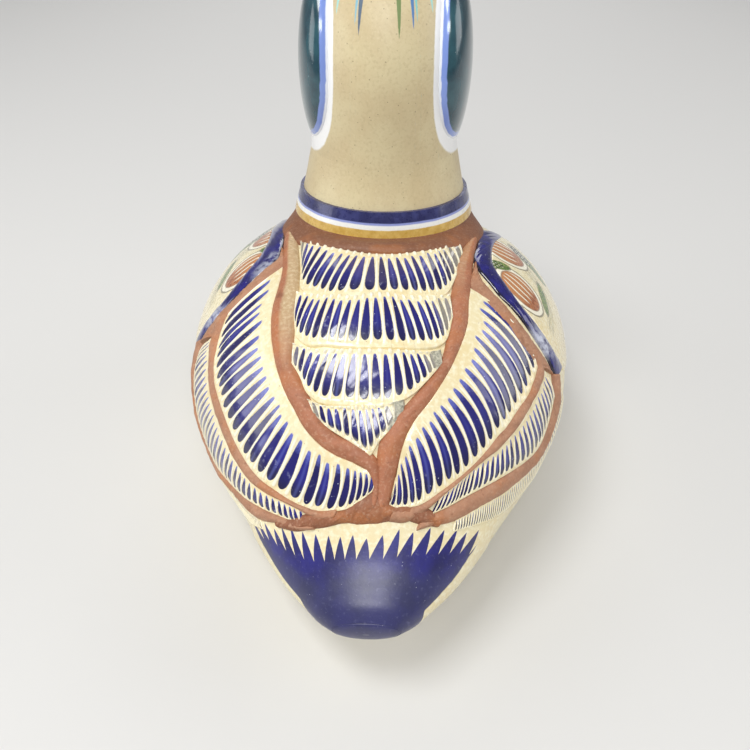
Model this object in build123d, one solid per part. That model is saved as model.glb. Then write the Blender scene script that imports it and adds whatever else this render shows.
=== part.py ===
from build123d import *
import os
from bisect import bisect_right
from math import cos, radians, sin

# A press-moulded pottery bird that is a vase: hollow body, neck and head, open at the crown.
# +Y is the way the bird faces, +X its right-hand side, +Z up, and the foot stands on z = 0.
# Millimetres.

# Wall of the moulded clay and the height where the two halves of the body meet.
WALL = 5.5
FLOOR = 6.0
SEAM_HEIGHT = 50.0
TAIL_JOINT_Y = -82.0

# Reach of the blocks and prisms that cut the shells and the layer of clay on them.
ROOM = 160.0
PRISM_FOOT = 40.0
PRISM_REACH = 120.0

# Relief laid on the outside of the body.
RELIEF = 2.0
# The potter laid the feather pattern a little askew on the body.
PATTERN_TURN = -4.5

# Body stations along the bird: y, half width, top z, bottom z. Each section is an ellipse.
BODY = [
    (-108.0, 6.0, 37.0, 33.5),
    (-106.5, 11.5, 40.0, 30.5),
    (-103.0, 16.0, 43.5, 27.5),
    (-97.0, 22.0, 47.5, 24.0),
    (-89.0, 29.5, 53.5, 19.5),
    (-77.0, 38.5, 66.5, 12.0),
    (-62.0, 48.5, 84.0, 3.5),
    (-45.0, 59.5, 97.0, -4.0),
    (-20.0, 71.5, 107.0, -9.0),
    (5.0, 77.0, 109.0, -10.0),
    (30.0, 77.5, 107.0, -9.0),
    (55.0, 72.0, 100.0, -4.0),
    (74.0, 58.0, 89.0, 7.0),
    (87.0, 41.0, 76.0, 20.0),
    (95.0, 24.0, 64.5, 34.0),
    (98.5, 8.0, 54.5, 44.5),
]
BODY_SECTIONS = 34
THINNEST = 1.5

# Rings of the neck and head: centre y, centre z, half width, half depth, backward tilt in degrees.
NECK = [
    (44.0, 70.0, 36.2, 34.0, 8.0),
    (45.5, 92.0, 36.0, 33.8, 8.0),
    (46.0, 104.0, 35.0, 32.8, 8.0),
    (46.5, 110.0, 33.4, 31.2, 8.0),
    (48.0, 118.0, 31.2, 29.3, 8.0),
    (50.0, 130.0, 28.4, 28.0, 6.0),
]
HEAD = [
    (50.0, 130.0, 28.4, 28.0, 6.0),
    (54.0, 144.0, 28.6, 31.0, 4.0),
    (58.0, 160.0, 29.0, 34.5, 2.0),
    (60.0, 177.0, 27.0, 32.5, 0.0),
    (60.0, 189.0, 22.5, 25.5, 0.0),
    (60.0, 197.0, 19.0, 19.0, 0.0),
]
# The terracotta skirt that beds the neck on the back, from the collar down to the body.
LEDGE = [
    (46.0, 104.5, 35.8, 33.8, 8.4),
    (45.0, 100.0, 38.2, 37.4, 16.0),
    (44.0, 95.0, 42.0, 43.0, 21.5),
    (44.0, 84.0, 42.0, 43.0, 21.5),
]

# Collar bands round the foot of the neck.
COLLAR_Y = 46.0
COLLAR_BOTTOM = 104.5
COLLAR_HEIGHT = 9.5
COLLAR_PROUD = 1.3
COLLAR_TILT = 8.0

# Mouth at the crown.
MOUTH_Y = 60.0
MOUTH_BASE = 197.0
MOUTH_HEIGHT = 9.0
MOUTH_RADIUS = 13.5
MOUTH_ROUND = 1.8
MOUTH_OUTER = 19.0

# Domed cheeks: centre and half sizes.
CHEEK_CENTRE = (22.0, 58.0, 158.0)
CHEEK_SIZE = (10.5, 26.5, 34.0)

# Eye pellets, standing on the cheeks towards the front.
EYE_CENTRE = (27.6, 72.5, 167.0)
EYE_RADIUS = 5.2

# Bill: y, half width, half height of each section, and the height of its middle.
BILL = [(86.0, 13.0, 8.0), (97.0, 10.5, 6.2), (107.0, 9.0, 3.6), (114.0, 5.5, 2.2)]
BILL_HEIGHT = 156.0

# Feather pattern, one side of it: y and angle from the crest line, seen along the bird.
MANTLE_EDGE = [(40, 26), (12, 23.5), (-15, 22.5), (-34, 23.5), (-46, 22), (-56, 16), (-62, 8.5), (-66.5, 0)]
BORDER_OUTER = [(44, 31), (18, 29.4), (-4, 28.3), (-18, 29.5), (-33, 31), (-45, 29.5), (-56, 24.5),
                (-65, 16), (-72, 8), (-77, 6)]
BORDER_FRONT = 2
FEATHER_FRONT = [(-4, 28.3), (-9, 36), (-14, 44), (-19, 52), (-25, 58)]
FEATHER_OUTER = [(-25, 58), (-35, 59.5), (-46, 58), (-56, 56), (-65, 49.5), (-72, 39.5), (-76.5, 28),
                 (-78, 18), (-77, 6)]
RIDGE_OUTER = [(-18, 59), (-24, 63), (-32, 64.3), (-43, 63), (-56, 60.3), (-66, 53), (-74, 40), (-78.5, 28),
               (-80, 18)]
PRIMARY_OUTER = [(-14, 69), (-20, 76), (-30, 81), (-44, 83), (-56, 79.5), (-66, 70), (-74, 56), (-79.5, 36)]
LOWER_RIDGE_OUTER = [(-13, 75), (-20, 83), (-30, 87), (-44, 88.5), (-56, 84.5), (-67, 75), (-75.5, 60),
                     (-81.5, 36)]
LOWER_BAND_OUTER = [(-12, 83), (-20, 91), (-30, 95), (-44, 96.5), (-57, 93), (-68, 84), (-75.5, 72)]
STRIPE_INNER = [(44, 31), (18, 29.4), (8, 32.5), (0, 38.5), (-5, 45.5), (-9.5, 53), (-12.5, 60.5), (-14, 69)]
STRIPE_OUTER = [(52, 42), (26, 35.5), (15, 37), (7, 42), (1, 48), (-1.5, 54.5), (-4, 62), (-5, 70.5)]
FLOWER_OUTER = [(52, 42), (61, 50), (58, 62), (42, 72), (18, 76), (2, 75), (-5, 70.5)]
ROW_LINES = (45.0, -20.0, -39.0, -56.0, -72.0)
REAR_BAND = [(-76, 38), (-83, 36), (-83, 0)]


def station(y, table):
    """A station's values at any y, eased between the neighbouring stations."""
    spots = [row[0] for row in table]
    i = min(max(bisect_right(spots, y), 1), len(table) - 1)
    share = (y - spots[i - 1]) / (spots[i] - spots[i - 1])
    before, after = table[max(i - 2, 0)], table[min(i + 1, len(table) - 1)]
    start, end = table[i - 1], table[i]
    step = end[0] - start[0]
    values = []
    for k in range(1, len(start)):
        leave = (end[k] - before[k]) / (end[0] - before[0]) * step
        reach = (after[k] - start[k]) / (after[0] - start[0]) * step
        turn = 2 * (start[k] - end[k]) + leave + reach
        bend = 3 * (end[k] - start[k]) - 2 * leave - reach
        values.append(start[k] + share * (leave + share * (bend + share * turn)))
    return values


def on_body(y, angle):
    """The point of the body's surface at y and an angle from the crest line, positive to +X."""
    half_width, top, bottom = station(y, BODY)
    middle = (top + bottom) / 2
    reach = (top - bottom) / 2
    return Vector(half_width * sin(radians(angle)), y, middle + reach * cos(radians(angle)))


def body_loft(grow):
    """The body's smooth outside, grown or shrunk by the same amount all round."""
    first, last = BODY[0][0], BODY[-1][0]
    sections = []
    for k in range(BODY_SECTIONS):
        y = (first + last) / 2 - (last - first) / 2 * cos(radians(180 * k / (BODY_SECTIONS - 1)))
        half_width, top, bottom = station(y, BODY)
        across, up = half_width + grow, (top - bottom) / 2 + grow
        if across < THINNEST or up < THINNEST:
            continue
        centre = Plane(origin=(0, y, (top + bottom) / 2), x_dir=(1, 0, 0), z_dir=(0, -1, 0))
        sections.append(centre * Ellipse(across, up))
    return loft(sections)


def ring_loft(rings, grow=0.0):
    """A solid through tilted elliptical rings, grown or shrunk all round."""
    sections = []
    for y, z, half_width, half_depth, tilt in rings:
        level = Plane(origin=(0, y, z), x_dir=(1, 0, 0), z_dir=(0, sin(radians(tilt)), cos(radians(tilt))))
        sections.append(level * Ellipse(half_width + grow, half_depth + grow))
    return loft(sections)


def block(y_low=-ROOM, y_high=ROOM, z_low=0.0, z_high=ROOM):
    """A wide box between two places along the bird and two heights."""
    middle = Pos(0, (y_low + y_high) / 2, (z_low + z_high) / 2)
    return middle * Box(2 * ROOM, y_high - y_low, z_high - z_low)


def plan_prism(runs):
    """An upright prism whose outline joins curves of the pattern, seen from above."""
    flat = [[(p.X, p.Y) for p in (on_body(*spot) for spot in run)] for run in runs]
    return Rot(0, 0, PATTERN_TURN) * Pos(0, 0, PRISM_FOOT) * extrude(closed_outline(flat), PRISM_REACH)


def side_prism(runs, side):
    """A level prism out of one side, whose outline joins curves of the pattern seen from the side."""
    flat = [[(p.Y, p.Z) for p in (on_body(*spot) for spot in run)] for run in runs]
    outline = Plane.YZ * closed_outline(flat)
    return Rot(0, 0, PATTERN_TURN) * extrude(outline, side * PRISM_REACH)


def closed_outline(runs):
    """A face whose edge follows each run of points smoothly and turns a corner between runs."""
    edges = []
    for i, run in enumerate(runs):
        edges.append(Spline(*run) if len(run) > 2 else Line(*run))
        nxt = runs[(i + 1) % len(runs)][0]
        if (Vector(*nxt) - Vector(*run[-1])).length > 0.01:
            edges.append(Line(run[-1], nxt))
    return make_face(edges)


def back_along(curve):
    """A curve of the pattern from its last point to its first."""
    return list(reversed(curve))


def mirrored(curve):
    """A curve of the pattern on the other side of the crest line."""
    return [(y, -angle) for y, angle in curve]


def both_sides(curve):
    """An outline down one side of the crest line and back up the other."""
    return [curve, back_along(mirrored(curve))]


def largest(part):
    """The main solid of a cut, without the slivers beside it."""
    return max(part.solids(), key=lambda solid: solid.volume)


def write(part, name):
    """Write one piece to its own STEP file."""
    part.label = name
    export_step(part, f"parts/{name}.step")
    print(name, round(part.volume), len(part.solids()))


def body_shells(outside, inside, neck_inside):
    """The hollow body in its three moulded pieces: belly, back and tail."""
    shell = (outside - inside - neck_inside) & block()
    tail = shell & block(y_high=TAIL_JOINT_Y)
    belly = shell & block(y_low=TAIL_JOINT_Y, z_high=SEAM_HEIGHT)
    back = shell & block(y_low=TAIL_JOINT_Y, z_low=SEAM_HEIGHT)
    return belly, back, tail


def collar_band(neck_outside):
    """A flat coil round the foot of the neck, square to the neck's lean."""
    lean = radians(COLLAR_TILT)
    level = Plane(origin=(0, COLLAR_Y, COLLAR_BOTTOM), x_dir=(1, 0, 0), z_dir=(0, sin(lean), cos(lean)))
    slab = level * Box(ROOM, ROOM, COLLAR_HEIGHT, align=(Align.CENTER, Align.CENTER, Align.MIN))
    return (ring_loft(NECK, COLLAR_PROUD) - neck_outside) & slab


def mouth_ring():
    """The rolled rim round the mouth."""
    ring = Cylinder(MOUTH_OUTER, MOUTH_HEIGHT) - Cylinder(MOUTH_RADIUS, MOUTH_HEIGHT)
    ring = fillet(ring.edges().filter_by(GeomType.CIRCLE).group_by(Axis.Z)[-1], MOUTH_ROUND)
    return Pos(0, MOUTH_Y, MOUTH_BASE + MOUTH_HEIGHT / 2) * ring


def cheek(side, head_outside):
    """A glossy oval dome on one side of the head."""
    x, y, z = CHEEK_CENTRE
    return Pos(side * x, y, z) * scale(Sphere(1), by=CHEEK_SIZE) - head_outside


def eye(side, cheek_part, head_outside):
    """A pellet of clay pressed on the cheek."""
    x, y, z = EYE_CENTRE
    return Pos(side * x, y, z) * Sphere(EYE_RADIUS) - cheek_part - head_outside


def bill(head_outside):
    """A short flat bill."""
    sections = []
    for y, half_width, half_height in BILL:
        place = Plane(origin=(0, y, BILL_HEIGHT), x_dir=(1, 0, 0), z_dir=(0, -1, 0))
        sections.append(place * Ellipse(half_width, half_height))
    return loft(sections) - head_outside


def wing_pieces():
    """The outlines of one wing and shoulder, from the crest outwards, and the way each is cut."""
    ridge_front = [RIDGE_OUTER[0], FEATHER_FRONT[-1]]
    return [
        ("secondaries", "plan", [FEATHER_FRONT, FEATHER_OUTER, back_along(BORDER_OUTER[BORDER_FRONT:])]),
        ("shoulder_ridge", "plan", [STRIPE_INNER[1:], ridge_front, back_along(FEATHER_FRONT)]),
        ("shoulder_stripe", "plan", [STRIPE_OUTER, back_along(STRIPE_INNER)]),
        ("flower_panel", "plan", [FLOWER_OUTER, back_along(STRIPE_OUTER)]),
        ("wing_ridge", "plan", [FEATHER_OUTER, back_along(RIDGE_OUTER)]),
        ("primaries", "side", [RIDGE_OUTER, back_along(PRIMARY_OUTER)]),
        ("lower_ridge", "side", [PRIMARY_OUTER, back_along(LOWER_RIDGE_OUTER)]),
        ("lower_band", "side", [LOWER_RIDGE_OUTER, back_along(LOWER_BAND_OUTER)]),
    ]


def cut_wing(skin, side):
    """One wing's pieces, each cut from what the pieces before it left of the layer."""
    pieces = {}
    for name, way, runs in wing_pieces():
        if side < 0:
            runs = [mirrored(run) for run in runs]
        prism = plan_prism(runs) if way == "plan" else side_prism(runs, side)
        pieces[name] = largest(skin & prism)
        skin = skin - prism
    return pieces, skin


def cut_back(skin):
    """The mantle's four rows and the plain border round them, and what is left of the layer."""
    mantle = plan_prism(both_sides(MANTLE_EDGE))
    border = plan_prism(both_sides(BORDER_OUTER))
    rows = {}
    for number, (start, end) in enumerate(zip(ROW_LINES, ROW_LINES[1:]), 1):
        row_box = Rot(0, 0, PATTERN_TURN) * block(end, start)
        rows[f"mantle_row_{number}"] = largest(skin & mantle & row_box)
    rows["mantle_border"] = largest(skin & border - mantle)
    return rows, skin - border


os.makedirs("parts", exist_ok=True)
outside = body_loft(0)
inside = body_loft(-WALL) & block(BODY[0][0] + WALL, BODY[-1][0] - WALL, FLOOR)
neck_outside = ring_loft(NECK)
neck_inside = ring_loft(NECK, -WALL)
head_outside = ring_loft(HEAD)
belly, back, tail = body_shells(outside, inside, neck_inside)
write(belly, "belly_shell")
write(back, "back_shell")
write(tail, "tail")
write(neck_outside - neck_inside - outside, "neck")
write(head_outside - ring_loft(HEAD, -WALL), "head")
write(mouth_ring(), "mouth_rim")
write(bill(head_outside), "bill")
collar = collar_band(neck_outside)
ledge = ring_loft(LEDGE) - neck_outside - outside
write(collar, "collar")
write(ledge, "neck_ledge")
for side, hand in ((-1, "left"), (1, "right")):
    dome = cheek(side, head_outside)
    write(dome, f"{hand}_cheek")
    write(eye(side, dome, head_outside), f"{hand}_eye")

skin = body_loft(RELIEF) - outside - ledge - neck_outside - collar
rows, skin = cut_back(skin)
for name, piece in rows.items():
    write(piece, name)
for side, hand in ((-1, "left"), (1, "right")):
    pieces, skin = cut_wing(skin, side)
    for name, piece in pieces.items():
        write(piece, f"{hand}_{name}")
write(largest(skin & plan_prism(both_sides(REAR_BAND))), "rear_band")
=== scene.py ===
# %% [markdown]
# # A pottery bird that is a vase
# The pot is a hollow clay bird. Its body, tail, neck and head are moulded shells, and the feathers are
# shallow carving that was flooded with cobalt glaze. The shells come from the frame as they are. The carved
# layer is built here, because its ribs, beads and grooves are what the eye reads.

# %% Load the frame
import math
import bpy
import numpy as np
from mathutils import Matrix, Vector
from mathutils.bvhtree import BVHTree


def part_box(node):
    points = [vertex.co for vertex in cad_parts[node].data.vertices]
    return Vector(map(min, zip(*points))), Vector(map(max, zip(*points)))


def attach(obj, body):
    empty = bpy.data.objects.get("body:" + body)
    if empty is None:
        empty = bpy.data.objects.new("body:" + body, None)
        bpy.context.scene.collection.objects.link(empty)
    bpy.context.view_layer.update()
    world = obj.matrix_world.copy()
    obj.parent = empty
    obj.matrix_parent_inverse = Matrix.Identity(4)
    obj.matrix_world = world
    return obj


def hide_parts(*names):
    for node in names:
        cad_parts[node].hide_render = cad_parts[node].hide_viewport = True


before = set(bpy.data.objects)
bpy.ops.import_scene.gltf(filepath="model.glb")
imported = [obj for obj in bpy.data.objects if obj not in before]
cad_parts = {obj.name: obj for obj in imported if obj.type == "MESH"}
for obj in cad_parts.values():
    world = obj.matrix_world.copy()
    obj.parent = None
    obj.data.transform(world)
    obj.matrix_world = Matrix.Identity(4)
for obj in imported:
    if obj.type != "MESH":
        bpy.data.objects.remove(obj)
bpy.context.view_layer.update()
MM = 0.001

# %% [markdown]
# ## Measure the body
# Every section of the body across its length is an ellipse. Instead of copying sizes, level rays are shot at
# the shells from one side, and a parabola through the squared half widths gives each ellipse back. Spaced
# closely, these sections make a skin that is smoother than the facets that the rays met.

# %% Section ellipses from the shells
SHELLS = ("belly_shell", "back_shell", "tail")
STATION_STEP = 4.0
RAY_START = 300.0


def shell_tree(names):
    """One search tree of several nodes, in millimetres."""
    corners, faces = [], []
    for name in names:
        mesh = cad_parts[name].data
        start = len(corners)
        corners += [vertex.co / MM for vertex in mesh.vertices]
        faces += [[start + k for k in polygon.vertices] for polygon in mesh.polygons]
    return BVHTree.FromPolygons(corners, faces)


def section(tree, y):
    """Half width, middle height and half height of the body at one place along it."""
    heights, squares = [], []
    for z in np.arange(1.0, 112.0, 1.0):
        spot = tree.ray_cast(Vector((RAY_START, y, z)), Vector((-1, 0, 0)))[0]
        if spot is not None and spot.x > 0:
            heights.append(z)
            squares.append(spot.x ** 2)
    if len(heights) < 4:
        return None
    bend, slope, level = np.polyfit(heights, squares, 2)
    middle = -slope / (2 * bend)
    width = math.sqrt(level - slope ** 2 / (4 * bend))
    return width, middle, width / math.sqrt(-bend)


tree = shell_tree(SHELLS)
tail_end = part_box("tail")[0].y / MM
breast_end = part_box("back_shell")[1].y / MM
rows = []
for y in np.arange(tail_end + 1.0, breast_end - 1.0, STATION_STEP):
    found = section(tree, y)
    if found:
        rows.append((y,) + found)
STATIONS = np.array(rows)
print("stations", len(STATIONS), "widest", round(STATIONS[:, 1].max(), 2))


def eased(spots, values, at):
    """Smooth values between given ones: a cubic with the slopes of the neighbours."""
    at = np.asarray(at, float)
    i = np.clip(np.searchsorted(spots, at) - 1, 0, len(spots) - 2)
    slopes = np.gradient(values, spots)
    step = spots[i + 1] - spots[i]
    t = (at - spots[i]) / step
    a, b = values[i], values[i + 1]
    leave, reach = slopes[i] * step, slopes[i + 1] * step
    return a + t * (leave + t * (3 * (b - a) - 2 * leave - reach + t * (2 * (a - b) + leave + reach)))


def section_at(y):
    return [eased(STATIONS[:, 0], STATIONS[:, k], y) for k in (1, 2, 3)]


def skin_point(y, angle):
    """Points of the body's surface, from places along it and angles from the crest line in radians."""
    width, middle, rise = section_at(y)
    return np.stack([width * np.sin(angle), y + 0 * angle, middle + rise * np.cos(angle)], -1)


def lifted(y, angle, lift):
    """Points above the surface by a height in millimetres, square to it."""
    nudge = 0.4
    along = skin_point(y + nudge, angle) - skin_point(y - nudge, angle)
    round_it = skin_point(y, angle + 0.01) - skin_point(y, angle - 0.01)
    out = np.cross(round_it, along)
    out /= np.linalg.norm(out, axis=-1, keepdims=True)
    return skin_point(y, angle) + out * np.asarray(lift)[..., None]


# %% [markdown]
# ## The pattern's own map
# The feather pattern is drawn on a map of the body: the place along the bird and the angle from the crest
# line. The potter laid it a little askew, so each point is turned about the upright axis before it is set
# back on the skin.

# %% From the map to the pot
PATTERN_TURN = math.radians(-4.5)


def on_pot(y, degrees, lift):
    """Points of the pot for places on the pattern's map."""
    spot = skin_point(y, np.radians(degrees))
    c, s = math.cos(PATTERN_TURN), math.sin(PATTERN_TURN)
    x = c * spot[..., 0] - s * spot[..., 1]
    place = np.clip(s * spot[..., 0] + c * spot[..., 1], STATIONS[0, 0], STATIONS[-1, 0])
    width, middle, rise = section_at(place)
    return lifted(place, np.arctan2(x / width, (spot[..., 2] - middle) / rise), lift)


def curve(points, share):
    """A smooth line through a few map points, at shares of its length from 0 to 1."""
    points = np.array(points, float)
    gaps = np.linalg.norm(np.diff(points, axis=0), axis=1)
    spots = np.concatenate([[0], np.cumsum(gaps)]) / gaps.sum()
    return np.stack([eased(spots, points[:, k], share) for k in (0, 1)], -1)


# %% [markdown]
# ## From a grid to a piece
# Every carved piece is a thin closed slab: the carved face, a plain face sunk into the wall below it, and a
# strip that joins them. Its edges dip under the skin, so neighbours meet in a groove and no slit shows.

# %% Slabs
SUNK = -1.6


def slab(name, y, degrees, lift, marks, nodes):
    """A carved slab on the pot, with marks as attributes for its finish."""
    top = on_pot(y, degrees, lift)
    return close_slab(name, top, on_pot(y, degrees, np.full(y.shape, SUNK)), marks, nodes)


def close_slab(name, top, under, marks, nodes):
    rows, columns = top.shape[:2]
    index = np.arange(rows * columns).reshape(rows, columns)
    quads = np.stack([index[:-1, :-1], index[1:, :-1], index[1:, 1:], index[:-1, 1:]], -1).reshape(-1, 4)
    rim = np.concatenate([index[0, :-1], index[:-1, -1], index[-1, :0:-1], index[:0:-1, 0]])
    following = np.roll(rim, -1)
    lower = rows * columns
    strip = np.stack([rim, following, following + lower, rim + lower], -1)
    faces = np.concatenate([quads, quads[:, ::-1] + lower, strip])
    across = np.cross(top[1, 0] - top[0, 0], top[0, 1] - top[0, 0])
    if np.dot(across, top[0, 0] - under[0, 0]) < 0:
        faces = faces[:, ::-1]
    points = np.concatenate([top.reshape(-1, 3), under.reshape(-1, 3)]) * MM
    return make_piece(name, points, faces, {key: np.tile(m.reshape(-1), 2) for key, m in marks.items()},
                      nodes)


def make_piece(name, points, faces, marks, nodes):
    """A mesh object that rides on the pot's one body and stands for CAD nodes."""
    mesh = bpy.data.meshes.new(name)
    mesh.from_pydata(points.tolist(), [], [[int(k) for k in face] for face in faces])
    mesh.shade_smooth()
    for key, values in marks.items():
        mesh.attributes.new(key, "FLOAT", "POINT").data.foreach_set("value", values.astype(np.float32))
    piece = bpy.data.objects.new(name, mesh)
    bpy.context.scene.collection.objects.link(piece)
    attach(piece, "root")
    if nodes:
        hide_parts(*nodes)
    print(name, len(mesh.polygons), "faces")
    return piece


def ease(value, low, high):
    """0 below low, 1 above high and smooth between."""
    t = np.clip((value - low) / (high - low), 0, 1)
    return t * t * (3 - 2 * t)


def edge_dip(u, v, margin_u, margin_v):
    """1 inside a patch and 0 at its four edges."""
    return (ease(u, 0, margin_u) * ease(1 - u, 0, margin_u) * ease(v, 0, margin_v) * ease(1 - v, 0, margin_v))


def wobble(u, v, seed):
    """Slow hand-made unevenness, between about -1 and 1."""
    total = 0
    for k, (a, b) in enumerate(((7, 2), (13, 5), (23, 3), (41, 9))):
        total = total + np.sin(a * u + b * v + seed * (k + 1.7)) / (k + 1.5)
    return total / 1.8

# %% [markdown]
# ## Writing finishes as sums
# A finish is worked out from values that vary over the clay: how far along a stroke a spot lies, which stroke
# it is on, how high it stands. One small class wraps a socket and lends it Python's operators, so a mask
# reads like the sum it is, and one method adds any other node.

# %% A socket with operators
class Wire:
    def __init__(self, finish, socket):
        self.finish = finish
        self.socket = socket

    def maths(self, operation, *values):
        return self.finish.add("ShaderNodeMath", {"operation": operation}, values)

    def __add__(self, other):
        return self.maths("ADD", self, other)

    def __sub__(self, other):
        return self.maths("SUBTRACT", self, other)

    def __rsub__(self, other):
        return self.maths("SUBTRACT", other, self)

    def __mul__(self, other):
        return self.maths("MULTIPLY", self, other)

    def __truediv__(self, other):
        return self.maths("DIVIDE", self, other)

    def __pow__(self, other):
        return self.maths("POWER", self, other)

    __radd__ = __add__
    __rmul__ = __mul__

    def size(self):
        return self.maths("ABSOLUTE", self)

    def whole(self):
        return self.maths("FLOOR", self)

    def least(self, other):
        return self.maths("MINIMUM", self, other)

    def most(self, other):
        return self.maths("MAXIMUM", self, other)

    def wave(self):
        return self.maths("SINE", self)


class Finish:
    """A material under construction, with its shader node at hand."""

    def __init__(self, name, rough, coat=0.0, **constants):
        self.material = bpy.data.materials.new(name)
        self.material.use_nodes = True
        self.nodes = self.material.node_tree.nodes
        self.links = self.material.node_tree.links
        self.shader = self.nodes["Principled BSDF"]
        self.shader.inputs["Roughness"].default_value = rough
        self.shader.inputs["Coat Weight"].default_value = coat
        for key, value in constants.items():
            self.shader.inputs[key.replace("_", " ")].default_value = value

    def add(self, kind, settings, values, output=0):
        """A node of a kind: its settings first, then its sockets, by place or by name."""
        node = self.nodes.new(kind)
        for key, value in settings.items():
            setattr(node, key, value)
        pairs = values.items() if isinstance(values, dict) else enumerate(values)
        for key, value in pairs:
            self.feed(node.inputs[key], value)
        return Wire(self, node.outputs[output])

    def feed(self, socket, value):
        if isinstance(value, Wire):
            self.links.new(value.socket, socket)
        else:
            socket.default_value = value

    def set(self, key, value):
        self.feed(self.shader.inputs[key], value)

    def mark(self, name):
        """A value that the mesh carries at its points."""
        return self.add("ShaderNodeAttribute", {"attribute_name": name}, [], "Fac")

    def place(self):
        """The spot's place in millimetres, as x, y and z."""
        spot = self.add("ShaderNodeTexCoord", {}, [], "Object")
        split = self.add("ShaderNodeSeparateXYZ", {}, [spot])
        axes = [Wire(self, out) for out in split.socket.node.outputs]
        return [axis * 1000.0 for axis in axes]

    def noise(self, grain, detail=3.0, rough=0.55):
        """Clouds with a grain in millimetres, from 0 to 1."""
        spot = self.add("ShaderNodeTexCoord", {}, [], "Object")
        values = {"Vector": spot, "Scale": 1.0 / (grain * MM), "Detail": detail, "Roughness": rough}
        return self.add("ShaderNodeTexNoise", {}, values, "Fac")

    def dots(self, spacing):
        """Distance from scattered points, in units of their spacing in millimetres."""
        spot = self.add("ShaderNodeTexCoord", {}, [], "Object")
        values = {"Vector": spot, "Scale": 1.0 / (spacing * MM)}
        return self.add("ShaderNodeTexVoronoi", {}, values, "Distance")

    def chance(self, number, seed=0.0):
        """A fixed random value for each whole number."""
        return self.add("ShaderNodeTexWhiteNoise", {"noise_dimensions": "1D"}, {"W": number + seed}, "Value")

    def soft(self, value, low, high):
        """0 below low, 1 above high, smooth between; the ends may be swapped."""
        settings = {"interpolation_type": "SMOOTHSTEP"}
        values = {"Value": value, "From Min": low, "From Max": high}
        return self.add("ShaderNodeMapRange", settings, values)

    def patches(self, grain, low, high, detail=3.0):
        """Soft-edged patches of a grain in millimetres, from 0 to 1."""
        return self.soft(self.noise(grain, detail=detail), low, high)

    def specks(self, spacing, outer, inner):
        """Round specks, 0 outside the outer distance and 1 inside the inner one."""
        return self.soft(self.dots(spacing), outer, inner)

    def blend(self, share, one, other):
        """A colour between two colours."""
        return self.add("ShaderNodeMix", {"data_type": "RGBA"}, {0: share, 6: one, 7: other}, 2)

    def bump(self, height, strength, reach=0.3):
        values = {"Strength": strength, "Distance": reach * MM, "Height": height}
        self.set("Normal", self.add("ShaderNodeBump", {}, values, "Normal"))


def colour(red, green, blue):
    """A colour as seen on a screen, 0 to 255, in the linear light that a shader works in."""
    def linear(part):
        part /= 255
        return part / 12.92 if part <= 0.04045 else ((part + 0.055) / 1.055) ** 2.4
    return (linear(red), linear(green), linear(blue), 1.0)


def grade(one, other, share):
    return tuple(a + (b - a) * share for a, b in zip(one, other))


CREAM = colour(234, 221, 178)
BRIGHT_CREAM = colour(248, 242, 218)
DEEP_COBALT = colour(22, 18, 84)
BRIGHT_COBALT = colour(36, 34, 128)
THIN_COBALT = colour(112, 122, 205)
POOLED = colour(26, 23, 44)
TERRACOTTA = colour(174, 112, 80)
DARK_TERRACOTTA = colour(112, 68, 46)
PALE_CLAY = colour(206, 170, 140)
BARE_GREY = colour(150, 148, 132)
print("finish tools ready")

# %% [markdown]
# ## Cream slip
# The ground of every panel is a cream slip, a thin coat of pale clay under a clear glaze. It varies slowly,
# is warmer where it lies thin, and carries fine specks from the clay below.

# %% Cream slip
def cream_ground(finish):
    """The colour of bare cream slip, with slow clouds and fine specks."""
    clouds = finish.noise(14.0)
    ground = finish.blend(finish.soft(clouds, 0.35, 0.7), CREAM, colour(232, 214, 164))
    fine = finish.blend(finish.patches(1.6, 0.4, 0.75), ground, colour(246, 238, 206))
    specks = finish.specks(3.2, 0.1, 0.05)
    return finish.blend(specks * 0.5, fine, colour(150, 120, 88))


def slip_finish(name):
    finish = Finish(name, 0.34, coat=0.35, Coat_Roughness=0.2)
    finish.set("Base Color", cream_ground(finish))
    finish.set("Roughness", 0.28 + 0.2 * finish.noise(3.0))
    finish.bump(finish.noise(1.2), 0.25)
    return finish.material


cream_material = slip_finish("cream slip")

# %% [markdown]
# ## Cobalt strokes
# Each feather is one stroke of a loaded brush: pointed and thin where the brush landed, then full, and
# rounded where the glaze pooled at its end. Two marks on the mesh say how far along its stroke a spot is
# and which stroke it belongs to; the fraction of the second is the place across the stroke. A fixed random
# value for each stroke shifts its start, its end and its depth of colour, as a hand does.

# %% A row of strokes
def strokes(finish, start, end, fullness, taper, ragged=0.07):
    """Mask of the strokes, the share along each, its own random value and the distance across it."""
    along, strand = finish.mark("along"), finish.mark("strand")
    number = strand.whole()
    luck, other_luck = finish.chance(number), finish.chance(number, 71.0)
    across = (strand - number - 0.5 + 0.1 * (other_luck - 0.5)).size()
    begin = start + ragged * (luck - 0.5)
    finish_at = end - 0.6 * ragged * other_luck
    share = ((along - begin) / (finish_at - begin)).least(1.0).most(0.0)
    rounded = (1.0 - share ** 9.0).most(0.0) ** 0.5
    half = (fullness + 0.05 * (luck - 0.5)) * share.most(0.001) ** taper * rounded
    ragged_edge = 0.05 * (finish.noise(0.9) - 0.5)
    mask = finish.soft(half - across + ragged_edge, -0.02, 0.03) * finish.soft(share, 0.0, 0.04)
    return mask, share, luck, across


def worn_clay(finish, under, amount):
    """Under, with bare gritty grey clay where the glaze never took."""
    grit = finish.blend(finish.patches(0.8, 0.35, 0.65), BARE_GREY, colour(196, 192, 172))
    dark = finish.blend(finish.patches(1.7, 0.6, 0.72) * 0.8, grit, colour(74, 72, 66))
    return finish.blend(amount, under, dark)


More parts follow.
